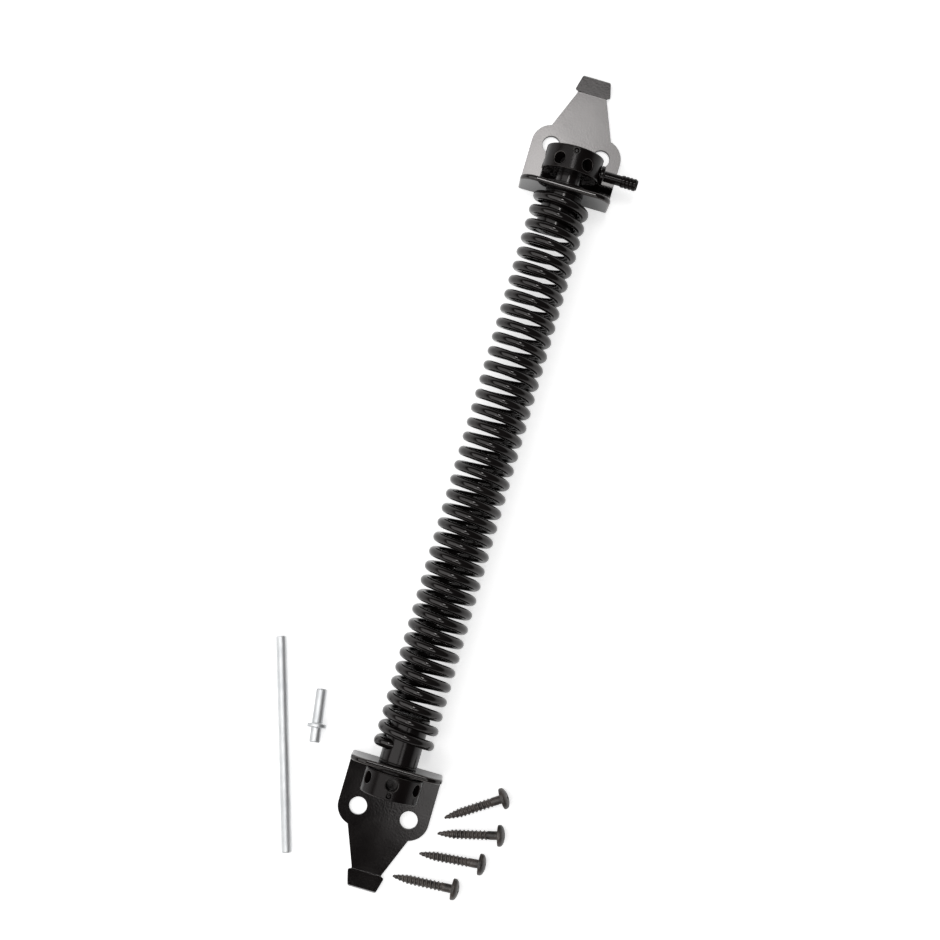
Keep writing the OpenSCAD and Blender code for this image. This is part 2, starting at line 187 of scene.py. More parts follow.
class HeadSizes(bpy.types.PropertyGroup):
    """Sizes of the winding heads."""

    drum: length("Drum", "Radius of a drum", reach("lower_drum", 0) / 2)
    drum_edge: length("Drum edge", "Rounding of a drum's rims", 0.6 * MM)
    hole: length("Winding hole", "Radius of a winding hole", WINDING_HOLES["lower"]["dims"]["r_mm"] * MM)
    hole_mouth: length("Hole mouth", "Rounding of a winding hole's mouth", 0.55 * MM)
    hole_floor: length("Hole floor", "Distance from the axis to a winding hole's floor", 5.9 * MM)
    journal: length("Journal", "Radius of a spindle's journal", 5.25 * MM)
    plug: length("Plug", "Radius of the plug inside the spring", 8 * MM)
    shoulder: length("Shoulder", "Distance from the flange to the plug's shoulder", 0.9 * MM)
    lock_pin: length("Lock pin", "Radius of a lock pin", reach("lower_lock_pin", 0) / 2)
    thrust_washer: length("Thrust washer", "Radius of the washer under the drum", 10 * MM)
    seat_washer: length("Seat washer", "Radius of the washer under the plug", 8 * MM)
    washer_bore: length("Washer bore", "Radius of a washer's bore", 5.55 * MM)


class KitSizes(bpy.types.PropertyGroup):
    """Sizes of the pins, rod and screws."""

    pin: length("Pin", "Radius of a stop pin", 2.25 * MM)
    pin_seat: length("Pin seat", "Length of pin inside the drum", 6.2 * MM)
    pin_free: length("Pin free length", "Length of pin outside the collar", 14.6 * MM)
    collar: length("Collar", "Radius of a pin's collar", 4 * MM)
    collar_thickness: length("Collar thickness", "Thickness of a pin's collar", 1.6 * MM)
    ridge: length("Ridge", "Radius of the fitted pin's ridges", 2.6 * MM)
    ridge_pitch: length("Ridge pitch", "Distance from ridge to ridge", 1.6 * MM)
    rod: length("Rod", "Radius of the winding rod", reach("winding_rod", 2) / 2)
    rod_length: length("Rod length", "Length of the winding rod", 90 * MM)
    screw: length("Screw", "Radius over a screw's thread", 2.1 * MM)
    screw_core: length("Screw core", "Radius at the root of a screw's thread", 1.55 * MM)
    screw_length: length("Screw length", "Length of a screw below its head", 25.4 * MM)
    screw_point: length("Screw point", "Length of a screw's point", 7 * MM)
    screw_plain: length("Screw plain", "Length of plain shank under the head", 3.4 * MM)
    thread: length("Thread", "Distance from thread to thread", 1.7 * MM)
    head: length("Head", "Radius of a screw's head", 4.5 * MM)
    head_height: length("Head height", "Height of a screw's head", 3 * MM)
    recess: length("Recess", "Length of the cross recess", 4.6 * MM)
    recess_width: length("Recess width", "Width of a blade of the cross recess", 1 * MM)
    recess_depth: length("Recess depth", "Depth of the cross recess", 1.8 * MM)

    def collar_top(self):
        """Distance from a pin's inner end to the outer side of its collar."""
        return self.pin_seat + self.collar_thickness


class Finishes(bpy.types.PropertyGroup):
    """Colours of the paint, plating and bare metal."""

    enamel: tint("Enamel", "Gloss black paint", (0.0038, 0.0027, 0.0027))
    sheen: tint("Sheen", "Tint of the paint's reflections", (1.0, 0.965, 0.955))
    dust: tint("Dust", "Dust and haze on the paint", (0.0085, 0.0068, 0.0064))
    steel: tint("Steel", "Bare steel at worn edges", (0.11, 0.10, 0.095))
    zinc: tint("Zinc", "Bright zinc plating", (0.81, 0.82, 0.825))
    zinc_dull: tint("Dull zinc", "Weathered zinc plating", (0.66, 0.68, 0.695))
    oxide: tint("Oxide", "Brown-black coating of the screws", (0.082, 0.068, 0.060))
    oxide_worn: tint("Worn oxide", "Rubbed thread crests of the screws", (0.34, 0.31, 0.285))


class StageSettings(bpy.types.PropertyGroup):
    """Camera, floor and light."""

    camera_place: lengths("Camera", "Where the camera stands", (-0.0054, 0.1039, 0.7574))
    camera_aim: lengths("Aim", "Point that the camera looks at", (-0.0054, 0.1479, 0.0))
    camera_roll: angle("Roll", "Turn of the camera about its line of sight", 16.27)
    lens: FloatProperty(name="Lens", description="Focal length in millimetres", default=68.64)
    floor: tint("Floor", "Colour of the floor", (0.86, 0.86, 0.86))


# Node trees


class Signal:
    """A value in a node tree. Sums, differences and products of signals add Math nodes."""

    def __init__(self, bench, socket):
        self.bench = bench
        self.socket = socket

    def maths(self, operation, first, second):
        """One Math node on two signals or numbers."""
        sockets = {0: first, 1: second}
        return self.bench.node("ShaderNodeMath", {"operation": operation}, sockets)["Value"]

    def __add__(self, other):
        return self.maths("ADD", self, other)

    def __radd__(self, other):
        return self.maths("ADD", other, self)

    def __sub__(self, other):
        return self.maths("SUBTRACT", self, other)

    def __rsub__(self, other):
        return self.maths("SUBTRACT", other, self)

    def __mul__(self, other):
        return self.maths("MULTIPLY", self, other)

    def __rmul__(self, other):
        return self.maths("MULTIPLY", other, self)

    def clamped(self):
        """Kept between 0 and 1."""
        return self.bench.node("ShaderNodeClamp", {}, {"Value": self})["Result"]

    def between(self, low, high):
        """0 below low, 1 above high and straight between them."""
        return ((self - low) * (1 / (high - low))).clamped()


class Bench:
    """A node tree that is being built."""

    def __init__(self, tree):
        self.tree = tree
        tree.nodes.clear()

    def node(self, kind, settings=None, sockets=None):
        """Adds a node, sets it up, then fills its sockets with values or signals."""
        made = self.tree.nodes.new(kind)
        for key, value in (settings or {}).items():
            setattr(made, key, value)
        for key, value in (sockets or {}).items():
            if isinstance(value, Signal):
                self.tree.links.new(value.socket, made.inputs[key])
            else:
                made.inputs[key].default_value = value
        signals = {output.name: Signal(self, output) for output in made.outputs}
        signals.update({i: Signal(self, output) for i, output in enumerate(made.outputs)})
        return signals

    def place(self):
        """The piece's own coordinates, in metres."""
        return self.node("ShaderNodeTexCoord")["Object"]

    def stretched(self, vector, scale, heading=0.0):
        """Coordinates turned about the vertical and then scaled."""
        turned_back = {"Vector": vector, "Rotation": (0.0, 0.0, -heading)}
        turned = self.node("ShaderNodeMapping", {"vector_type": "POINT"}, turned_back)["Vector"]
        sockets = {0: turned, 1: scale}
        return self.node("ShaderNodeVectorMath", {"operation": "MULTIPLY"}, sockets)["Vector"]

    def noise(self, vector, scale, detail=2.0, roughness=0.5):
        """Cloudy noise about 0.5."""
        sockets = {"Vector": vector, "Scale": scale, "Detail": detail, "Roughness": roughness}
        return self.node("ShaderNodeTexNoise", {}, sockets)["Fac"]

    def mixed(self, factor, one, other):
        """A blend of two colours, each a signal or a colour."""
        ends = [end if isinstance(end, Signal) else (*end, 1.0) for end in (one, other)]
        sockets = {0: factor, 6: ends[0], 7: ends[1]}
        return self.node("ShaderNodeMix", {"data_type": "RGBA"}, sockets)[2]

    def worn(self):
        """How far the finish is rubbed off, from the piece's own edges."""
        return self.node("ShaderNodeAttribute", {"attribute_name": "wear"})["Fac"]

    def bumped(self, height, distance, normal=None):
        """A normal that follows a height, over another normal where one is given."""
        sockets = {"Height": height, "Distance": distance, "Strength": 1.0}
        if normal is not None:
            sockets["Normal"] = normal
        return self.node("ShaderNodeBump", {}, sockets)["Normal"]

    def surface(self, sockets):
        """The finish's one shader and its output."""
        shader = self.node("ShaderNodeBsdfPrincipled", {}, sockets)["BSDF"]
        self.node("ShaderNodeOutputMaterial", {}, {"Surface": shader})


def new_finish(name):
    """A fresh material and the bench for its nodes."""
    material = bpy.data.materials.new(name)
    material.use_nodes = True
    return material, Bench(material.node_tree)


def enamel_finish(name, colours, grain, gloss, shine):
    """Black gloss paint: dust in patches, orange peel, a trace of the metal's grain, and worn edges."""
    material, bench = new_finish(name)
    place = bench.place()
    patches = bench.noise(place, scale=70.0, detail=5.0, roughness=0.6)
    specks = bench.noise(place, scale=1900.0, roughness=0.7)
    peel = bench.noise(place, scale=1300.0, detail=1.0)
    waves = bench.noise(place, scale=55.0, detail=1.0)
    lines = bench.noise(bench.stretched(place, grain), scale=1.0, detail=3.0)
    bare = (bench.worn() + 0.9 * patches).between(1.22, 1.5)
    haze = patches.between(0.42, 0.75) * 0.8 + specks.between(0.66, 0.8) * 0.5
    paint = bench.mixed(haze.clamped(), colours.enamel, colours.dust)
    normal = bench.bumped(waves, distance=60e-6)
    normal = bench.bumped(peel, distance=9e-6, normal=normal)
    normal = bench.bumped(lines, distance=5e-6, normal=normal)
    bench.surface({
        "Base Color": bench.mixed(bare, paint, colours.steel),
        "Roughness": gloss + 0.1 * patches + 0.2 * bare,
        "Metallic": 0.85 * bare,
        "Normal": normal,
        "Specular IOR Level": shine,
        "Specular Tint": (*colours.sheen, 1.0),
    })
    return material


def zinc_finish(name, colours, heading):
    """Bright zinc on drawn steel: streaks along the piece, cloudy patches and small pits."""
    material, bench = new_finish(name)
    place = bench.place()
    drawn_grain = (30.0, 2600.0, 2600.0)
    drawn = bench.stretched(place, drawn_grain, heading)
    clouds = bench.noise(place, scale=120.0, detail=5.0, roughness=0.62)
    streaks = bench.noise(drawn, scale=1.0, detail=4.0, roughness=0.6)
    pits = bench.noise(place, scale=2400.0, detail=1.0)
    dull = (clouds.between(0.38, 0.7) * 0.7 + streaks.between(0.5, 0.75) * 0.35).clamped()
    normal = bench.bumped(streaks, distance=7e-6)
    normal = bench.bumped(pits, distance=3e-6, normal=normal)
    bench.surface({
        "Base Color": bench.mixed(dull, colours.zinc, colours.zinc_dull),
        "Roughness": 0.42 + 0.14 * clouds + 0.1 * streaks,
        "Metallic": 1.0,
        "Normal": normal,
    })
    return material


def oxide_finish(name, colours):
    """Brown-black coating on rolled screws: matt grain, oily patches and rubbed crests."""
    material, bench = new_finish(name)
    place = bench.place()
    patches = bench.noise(place, scale=260.0, detail=4.0, roughness=0.6)
    grain = bench.noise(place, scale=3800.0, detail=3.0, roughness=0.7)
    rubbed = (bench.worn() + 0.8 * patches).between(0.85, 1.35)
    coat = bench.mixed(patches.between(0.35, 0.7), colours.oxide, colours.enamel)
    bench.surface({
        "Base Color": bench.mixed(rubbed, coat, colours.oxide_worn),
        "Roughness": 0.3 + 0.2 * patches,
        "Metallic": 0.7 * rubbed,
        "Normal": bench.bumped(grain, distance=6e-6),
        "Specular IOR Level": 0.5,
    })
    return material


def finish(name, build, *details):
    """The material of that name, built on first use."""
    found = bpy.data.materials.get(name)
    return found if found else build(name, bpy.context.scene.closer_finishes, *details)


def paint_across(name, gloss):
    """Bright enamel over sheet or wire, with no grain of its own."""
    even_grain = (300.0, 300.0, 300.0)
    shine = 0.42
    return finish(name, enamel_finish, even_grain, gloss, shine)


def paint_turned(name, axis, gloss, shine=0.18):
    """Enamel over turned metal, with faint tool rings along an axis of the frame."""
    along_axis = 2600.0
    across_axis = 12.0
    tool_rings = tuple(along_axis if k == axis else across_axis for k in range(3))
    return finish(name, enamel_finish, tool_rings, gloss, shine)


# Mesh helpers


def turns(sides, start=0.0):
    """Evenly spaced angles round a full turn."""
    return [start + k * math.tau / sides for k in range(sides)]


class Skin:
    """Points and faces of one piece, and how worn its finish is at each point."""

    def __init__(self):
        self.points = []
        self.wear = []
        self.faces = []

    def ring(self, points, wear=0.0):
        """Adds a row of points and gives their numbers."""
        first = len(self.points)
        self.points.extend(points)
        self.wear.extend([wear] * len(points))
        return list(range(first, len(self.points)))

    def bridge(self, one, other):
        """Joins two closed rings, either of which may be a single point."""
        count = max(len(one), len(other))
        for i in range(count):
            j = (i + 1) % count
            steps = ((one, i), (one, j), (other, j), (other, i))
            corners = [ring[k % len(ring)] for ring, k in steps]
            self.faces.append(list(dict.fromkeys(corners)))

    def chain(self, rings):
        """Joins each ring to the next."""
        for one, other in zip(rings, rings[1:]):
            self.bridge(one, other)

    def spun(self, radius, along, around, wear=0.0):
        """A ring about Z, or one point where the radius is nil."""
        angles = around if radius > TINY else around[:1]
        points = [Vector((radius * math.cos(a), radius * math.sin(a), along)) for a in angles]
        return self.ring(points, wear)

    def turned(self, profile, sides=TURNED_SIDES):
        """Revolves a profile of (radius, along, wear) about Z."""
        around = turns(sides)
        self.chain([self.spun(radius, along, around, wear) for radius, along, wear in profile])


def eased(corners, closed=False):
    """Rounds the corners (x, y, rounding) of a path that has its material on the left.
    Gives (x, y, wear), where wear peaks on the corners that stand out."""
    side_share = 0.48
    path = []
    last = len(corners) - 1
    for i, (x, y, rounding) in enumerate(corners):
        here = Vector((x, y))
        if rounding == 0 or (not closed and i in (0, last)):
            path.append((x, y, 0.0))
            continue
        back = Vector(corners[i - 1][:2]) - here
        ahead = Vector(corners[(i + 1) % len(corners)][:2]) - here
        half = back.angle(ahead) / 2
        run = min(rounding / math.tan(half), side_share * back.length, side_share * ahead.length)
        bisector = (back.normalized() + ahead.normalized()).normalized()
        centre = here + bisector * (run / math.cos(half))
        spoke = here + back.normalized() * run - centre
        turn = math.copysign(math.pi - 2 * half, ahead.cross(back))
        steps = math.ceil(abs(turn) * max(1 / ARC_STEP, rounding / ARC_CHORD))
        for k in range(steps + 1):
            point = centre + Matrix.Rotation(turn * k / steps, 2) @ spoke
            wear = 1 - abs(2 * k / steps - 1) if turn > 0 else 0.0
            path.append((point.x, point.y, wear))
    return path


def spaced(loop, gap):
    """A closed loop with points no further apart than the gap."""
    points = []
    for one, other in zip(loop, loop[1:] + loop[:1]):
        count = max(1, math.ceil((other - one).length / gap))
        points.extend(one.lerp(other, k / count) for k in range(count))
    return points


def offset(loop, distance):
    """A closed loop moved to its left."""
    least_stretch = 0.5
    moved = []
    for i, point in enumerate(loop):
        ahead = (loop[(i + 1) % len(loop)] - point).normalized()
        behind = (point - loop[i - 1]).normalized()
        left = Vector((-ahead.y - behind.y, ahead.x + behind.x)).normalized()
        stretch = left.x * -ahead.y + left.y * ahead.x
        moved.append(point + left * (distance / max(stretch, least_stretch)))
    return moved


def circle(centre, radius, sides, clockwise=False):
    """A closed loop of points round a centre."""
    x, y = centre
    sense = -1 if clockwise else 1
    return [Vector((x + radius * math.cos(a), y + sense * radius * math.sin(a))) for a in turns(sides)]


def encloses(loop, point):
    """Whether a point is inside a closed loop."""
    odd = False
    for one, other in zip(loop, loop[1:] + loop[:1]):
        if (one.y > point.y) != (other.y > point.y):
            crossing = one.x + (point.y - one.y) * (other.x - one.x) / (other.y - one.y)
            odd ^= point.x < crossing
    return odd


def filled(loops, across, along, clear):
    """Points and triangles over the area inside the first loop and outside the others,
    with a grid of inner points that stay clear of the loops."""
    inside_only = 1
    nearest = 1e-9
    points = [point for loop in loops for point in loop]
    near = KDTree(len(points))
    for i, point in enumerate(points):
        near.insert(point.to_3d(), i)
    near.balance()

    def within(point):
        return encloses(loops[0], point) and not any(encloses(loop, point) for loop in loops[1:])

    grid = [Vector((x, y)) for y in along for x in across]
    free = [point for point in grid if near.find(point.to_3d())[2] > clear and within(point)]
    areas = []
    first = 0
    for loop in loops:
        areas.append(list(range(first, first + len(loop))))
        first += len(loop)
    areas[1:] = [hole[::-1] for hole in areas[1:]]
    made, _, faces, _, _, origins = delaunay_2d_cdt(points + free, [], areas, inside_only, nearest)
    return made, [face for face, origin in zip(faces, origins) if origin == [0]]


def steps_between(low, high, gap):
    """Evenly spaced values from low to high, no further apart than the gap."""
    count = max(1, math.ceil((high - low) / gap))
    return [low + (high - low) * k / count for k in range(count + 1)]


def mesh_object(name, skin, place=Matrix.Identity(4)):
    """A smooth mesh object from a skin, welded, with its faces turned outwards."""
    mesh = bpy.data.meshes.new(name)
    mesh.from_pydata([place @ point for point in skin.points], [], skin.faces)
    mesh.attributes.new("wear", "FLOAT", "POINT").data.foreach_set("value", skin.wear)
    work = bmesh.new()
    work.from_mesh(mesh)
    bmesh.ops.remove_doubles(work, verts=work.verts, dist=WELD)
    bmesh.ops.recalc_face_normals(work, faces=work.faces)
    work.to_mesh(mesh)
    work.free()
    piece = bpy.data.objects.new(name, mesh)
    bpy.context.scene.collection.objects.link(piece)
    return piece


def cut_out(piece, cutter):
    """Takes the cutter's volume out of a piece."""
    cut = piece.modifiers.new("cut", "BOOLEAN")
    cut.object = cutter
    cut.operation = "DIFFERENCE"
    cut.solver = "EXACT"
    evaluated = piece.evaluated_get(bpy.context.evaluated_depsgraph_get())
    carved = bpy.data.meshes.new_from_object(evaluated)
    piece.modifiers.clear()
    piece.data = carved
    bpy.data.objects.remove(cutter)


def dress(piece, material, node):
    """Gives a piece its finish and even shading, and lets it stand for its node."""
    piece.data.materials.clear()
    piece.data.materials.append(material)
    piece.data.shade_smooth()
    piece.data.set_sharp_from_angle(angle=HARD_EDGE)
    shading = piece.modifiers.new("even shading", "WEIGHTED_NORMAL")
    shading.keep_sharp = True
    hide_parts(node)


def turned_piece(name, corners, place, sides=TURNED_SIDES):
    """A piece turned from a profile of (radius, along, rounding)."""
    skin = Skin()
    skin.turned(eased(corners), sides)
    return mesh_object(name, skin, place)


# Brackets


def folded(sizes, x, v, h):
    """Bends a point of the flat blank into shape: v runs along the blank, h through the sheet."""
    mid = sizes.sheet / 2
    bend = sizes.bend + mid
    bend_from = sizes.bend_start()
    lip_bend = sizes.lip_bend + mid
    lip_from = sizes.lip_start()
    if v > bend_from:
        turn = min((v - bend_from) / bend, QUARTER)
        run = max(0.0, v - bend_from - bend * QUARTER)
        y = bend_from + bend * math.sin(turn)
        z = mid + bend * (1 - math.cos(turn)) + run
        tilt = turn
    elif v < lip_from:
        turn = min((lip_from - v) / lip_bend, sizes.lip_angle)
        run = max(0.0, lip_from - v - lip_bend * sizes.lip_angle)
        y = lip_from - lip_bend * math.sin(turn) - run * math.cos(turn)
        z = mid + lip_bend * (1 - math.cos(turn)) + run * math.sin(turn)
        tilt = -turn
    else:
        y, z, tilt = v, mid, 0.0
    return Vector((x, y - (h - mid) * math.sin(tilt), z + (h - mid) * math.cos(tilt)))


def bracket_loops(sizes):
    """The blank's outline and its three holes, as loops with the steel on the left."""
    tip_corner = 0.9 * MM
    barb_corner = 0.7 * MM
    neck_corner = 0.8 * MM
    ear_corner = 1.2 * MM
    ear_steps = 20
    hole_sides = 40
    bore_sides = 48
    ear_x = sizes.hole_pitch / 2
    ear_r = sizes.half_width - ear_x
    bend_outer = sizes.bend + sizes.sheet
    flange_from = sizes.bend_start() + sizes.bend_run()
    top = flange_from + sizes.height - bend_outer
    lip_straight = sizes.lip - (sizes.lip_bend + sizes.sheet) * math.tan(sizes.lip_angle / 2)
    lip_top = sizes.lip_start() - sizes.lip_run() - lip_straight
    side_line = [Vector((sizes.root / 2, 0)), Vector((sizes.neck / 2, -sizes.neck_reach))]
    shoulder = intersect_line_sphere_2d(*side_line, Vector((ear_x, 0)), ear_r)[0]
    ear_from = math.atan2(shoulder.y, shoulder.x - ear_x)
    ear = [ear_from * (1 - k / ear_steps) for k in range(1, ear_steps + 1)]
    right = [
        (sizes.lip_end / 2, lip_top, tip_corner),
        (sizes.barb / 2, -sizes.neck_reach - sizes.barb_step, barb_corner),
        (sizes.neck / 2, -sizes.neck_reach, neck_corner),
        (shoulder.x, shoulder.y, ear_corner),
        *[(ear_x + ear_r * math.cos(a), ear_r * math.sin(a), 0) for a in ear],
        (sizes.half_width, top, sizes.corner),
    ]
    left = [(-x, v, rounding) for x, v, rounding in reversed(right)]
    outline = [Vector(point[:2]) for point in eased(right + left, closed=True)]
    bore_v = flange_from + AXIS_HEIGHT - bend_outer
    return [
        spaced(outline, ARC_CHORD),
        circle((-ear_x, 0), sizes.hole_radius, hole_sides, clockwise=True),
        circle((ear_x, 0), sizes.hole_radius, hole_sides, clockwise=True),
        circle((0, bore_v), sizes.bore, bore_sides, clockwise=True),
    ]


def bracket_skin(sizes):
    """The bent sheet: rounded rims around the outline and holes, and both faces."""
    edge_steps = 4
    bend_rows = 10
    lip_rows = 3
    column_gap = 1.6 * MM
    row_gap = 0.7 * MM
    fold_room = 0.2 * MM
    rim_room = 0.6 * MM
    skin = Skin()
    loops = bracket_loops(sizes)
    bend_from = sizes.bend_start()
    bend_length = sizes.bend_run()

    def inset(loop, share):
        """The loop moved into the steel by a share of the edge's rounding, and the roundings there."""
        shares = [min(max((p.y - bend_from) / bend_length, 0.0), 1.0) for p in loop]
        edges = [sizes.edge + (sizes.flange_edge - sizes.edge) * k for k in shares]
        leans = [moved - p for p, moved in zip(loop, offset(loop, 1.0))]
        return [p + lean * (edge * share) for p, lean, edge in zip(loop, leans, edges)], edges

    arc = [k * QUARTER / edge_steps for k in range(edge_steps + 1)]
    for loop in loops:
        rings = []
        for a in arc:
            points, edges = inset(loop, 1 - math.sin(a))
            drops = [edge * (1 - math.cos(a)) for edge in edges]
            for heights in ([sizes.sheet - drop for drop in drops], drops):
                rim = [folded(sizes, p.x, p.y, height) for p, height in zip(points, heights)]
                rings.append(skin.ring(rim, math.sin(2 * a)))
        skin.chain(rings[::2] + rings[::-2])
    insets = [inset(loop, 1.0)[0] for loop in loops]
    low = min(p.y for p in insets[0])
    high = max(p.y for p in insets[0])
    across = steps_between(-sizes.half_width, sizes.half_width, column_gap)
    folds = [bend_from + bend_length * k / bend_rows for k in range(bend_rows + 1)]
    folds += [sizes.lip_start() - sizes.lip_run() * k / lip_rows for k in range(lip_rows + 1)]
    rows = steps_between(low, high, row_gap)
    along = folds + [v for v in rows if min(abs(v - fold) for fold in folds) > fold_room]
    blank, triangles = filled(insets, across, along, rim_room)
    for height in (sizes.sheet, 0.0):
        face = skin.ring([folded(sizes, p.x, p.y, height) for p in blank])
        skin.faces += [[face[i] for i in triangle] for triangle in triangles]
    return skin


def crease_rims(piece):
    """Keeps the sheet's faces, which are triangles, flat up to the rims, which have four corners."""
    work = bmesh.new()
    work.from_mesh(piece.data)
    for edge in work.edges:
        if {len(face.verts) for face in edge.link_faces} == {3, 4}:
            edge.smooth = False
    work.to_mesh(piece.data)
    work.free()


UPPER_END = Matrix.Translation((0, SPAN, 0)) @ Matrix.Rotation(math.pi, 4, "Z")
ENDS = {"lower": Matrix.Identity(4), "upper": UPPER_END}


class CLOSER_OT_brackets(bpy.types.Operator):
    """Builds both bent sheet brackets"""

    bl_idname = "closer.brackets"
    bl_label = "Brackets"

    def execute(self, context):
        skin = bracket_skin(context.scene.closer_bracket)
        for end, place in ENDS.items():
            piece = mesh_object(f"{end}_bracket_sheet", skin, place)
            enamel = paint_across("bracket enamel", gloss=0.05)
            dress(piece, enamel, f"{end}_bracket")
            crease_rims(piece)
            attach(piece, f"{end}_bracket")
        return {"FINISHED"}


# Spring


def wire_sections(sizes):
    """Centre, outward direction and running direction of the wire's sections, tail to tail."""
    sections_per_turn = 40
    tail_steps = 8
    final = sizes.start + math.tau * sizes.turns

    def outward(turn):
        return Vector((math.cos(turn), 0, math.sin(turn)))

    def onward(turn):
        return Vector((-math.sin(turn), 0, math.cos(turn)))

    def centre(along):
        return Vector((0, sizes.lower_end + along, AXIS_HEIGHT))

    def tail(turn, along, way):
        """The bend towards the axis and the straight end that follows it."""
        out = outward(turn)
        side = way * onward(turn)
        pivot = centre(along) + (sizes.coil - sizes.tail_bend) * out
        bent = []
        for k in range(1, tail_steps + 1):
            bend = QUARTER * k / tail_steps
            arm = math.cos(bend) * out + math.sin(bend) * side
            run = way * (math.cos(bend) * side - math.sin(bend) * out)
            bent.append((pivot + sizes.tail_bend * arm, arm, run))
        end = pivot + sizes.tail_bend * side - sizes.tail * out
        return bent + [(end, side, -way * out)]

    rise = Vector((0, sizes.pitch / math.tau, 0))
    coil = []
    for k in range(sizes.turns * sections_per_turn + 1):
        share = k / sections_per_turn
        turn = sizes.start + math.tau * share
        run = (sizes.coil * onward(turn) + rise).normalized()
        coil.append((centre(sizes.pitch * share) + sizes.coil * outward(turn), outward(turn), run))
    lower = tail(sizes.start, 0.0, -1)
    upper = tail(final, sizes.pitch * sizes.turns, 1)
    return lower[::-1] + coil + upper


class CLOSER_OT_spring(bpy.types.Operator):
    """Winds the torsion spring, with both tails turned into the spindles"""

    bl_idname = "closer.spring"
    bl_label = "Spring"

    def execute(self, context):
        sizes = context.scene.closer_spring
        skin = Skin()
        rings = []
        for middle, out, run in wire_sections(sizes):
            across = run.cross(out)
            spokes = [math.cos(a) * out + math.sin(a) * across for a in turns(WIRE_SIDES)]
            rings.append(skin.ring([middle + sizes.wire * spoke for spoke in spokes]))
        skin.chain(rings)
        for ring in (rings[0], rings[-1]):
            skin.faces.append(ring)
        piece = mesh_object("torsion_spring_wire", skin)
        enamel = paint_across("spring enamel", gloss=0.07)
        dress(piece, enamel, "torsion_spring")
        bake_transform(piece)
        return {"FINISHED"}


# Winding heads, about Z with the flange's spring side at the origin and +Z away from the spring


FLANGE = Matrix.Translation((0, BRACKET_TOP.y, AXIS_HEIGHT)) @ Matrix.Rotation(QUARTER, 4, "X")
HEADS = {end: place @ FLANGE for end, place in ENDS.items()}


def depths(end, part):
    """Nearest and farthest distance of a head's part from its flange's spring side."""
    to_head = HEADS[end].inverted()
    sides = sorted((to_head @ corner).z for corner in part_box(f"{end}_{part}"))
    return sides[0], sides[-1]


class Bore:
    """A radial hole in a drum: its angle and distance along the axis, radius, mouth and floor."""

    def __init__(self, turn, along, radius, mouth, floor):
        self.turn = turn
        self.along = along
        self.radius = radius
        self.mouth = mouth
        self.floor = floor
        self.around = turns(BORE_SIDES)

    def unrolled(self, drum):
        """The rim of the mouth on the drum's unrolled surface."""
        rim = self.radius + self.mouth
        points = []
        for q in self.around:
            turn = self.turn + math.asin(rim * math.sin(q) / drum)
            points.append(Vector((drum * turn, self.along + rim * math.cos(q))))
        return points

    def wall(self, skin, drum):
        """The rounded mouth, the wall and the floor."""
        mouth_steps = 4
        floor_edge = 0.2 * MM
        out = Vector((math.cos(self.turn), math.sin(self.turn), 0))
        side = Vector((-math.sin(self.turn), math.cos(self.turn), 0))
        axis = Vector((0, 0, 1))

        def ring(rim, level, drop=0.0, wear=0.0):
            """A ring at a distance from the drum's axis, or else at a drop below the drum's surface."""
            points = []
            for q in self.around:
                sideways = rim * math.sin(q)
                height = level or math.sqrt(drum ** 2 - sideways ** 2) - drop
                points.append(height * out + sideways * side + (self.along + rim * math.cos(q)) * axis)
            return skin.ring(points, wear)

        rings = []
        for k in range(mouth_steps + 1):
            bend = QUARTER * k / mouth_steps
            rim = self.radius + self.mouth * (1 - math.sin(bend))
            rings.append(ring(rim, None, self.mouth * (1 - math.cos(bend)), math.sin(2 * bend)))
        rings.append(ring(self.radius, (drum + self.floor) / 2))
        rings.append(ring(self.radius, self.floor + floor_edge))
        rings.append(ring(self.radius - floor_edge, self.floor))
        rings.append(skin.ring([self.floor * out + self.along * axis]))
        skin.chain(rings)


def drum_skin(sizes, near, far, bores):
    """A drum as one closed skin: the pierced band, the rounded rims, the ends and the bore."""
    sides = 96
    row_gap = 0.9 * MM
    mouth_room = 0.45 * MM
    bore_edge = 0.3 * MM
    skin = Skin()
    radius = sizes.drum
    edge = sizes.drum_edge
    seam = bores[0].turn + math.pi / WINDING_HOLE_COUNT
    low = near + edge
    high = far - edge
    around = [*turns(sides, seam), seam + math.tau]
    levels = steps_between(low, high, row_gap)
    border = [Vector((radius * a, low)) for a in around]
    border += [Vector((radius * around[-1], level)) for level in levels[1:-1]]
    border += [Vector((radius * a, high)) for a in reversed(around)]
    border += [Vector((radius * around[0], level)) for level in reversed(levels[1:-1])]
    for bore in bores:
        while bore.turn < seam:
            bore.turn += math.tau
        bore.wall(skin, radius)
    mouths = [bore.unrolled(radius) for bore in bores]
    band, triangles = filled([border] + mouths, [radius * a for a in around], levels, mouth_room)

    def rolled(point):
        """A point of the unrolled band, back on the drum."""
        turn = point.x / radius
        return Vector((radius * math.cos(turn), radius * math.sin(turn), point.y))

    face = skin.ring([rolled(point) for point in band])
    skin.faces += [[face[i] for i in triangle] for triangle in triangles]
    bore_r = sizes.journal + SLACK
    ends = eased([
        (radius, (low + high) / 2, 0),
        (radius, far, edge),
        (bore_r, far, bore_edge),
        (bore_r, near, bore_edge),
        (radius, near, edge),
        (radius, (low + high) / 2, 0),
    ])[1:-1]
    skin.chain([skin.spun(r, along, around[:-1], wear) for r, along, wear in ends])
    return skin


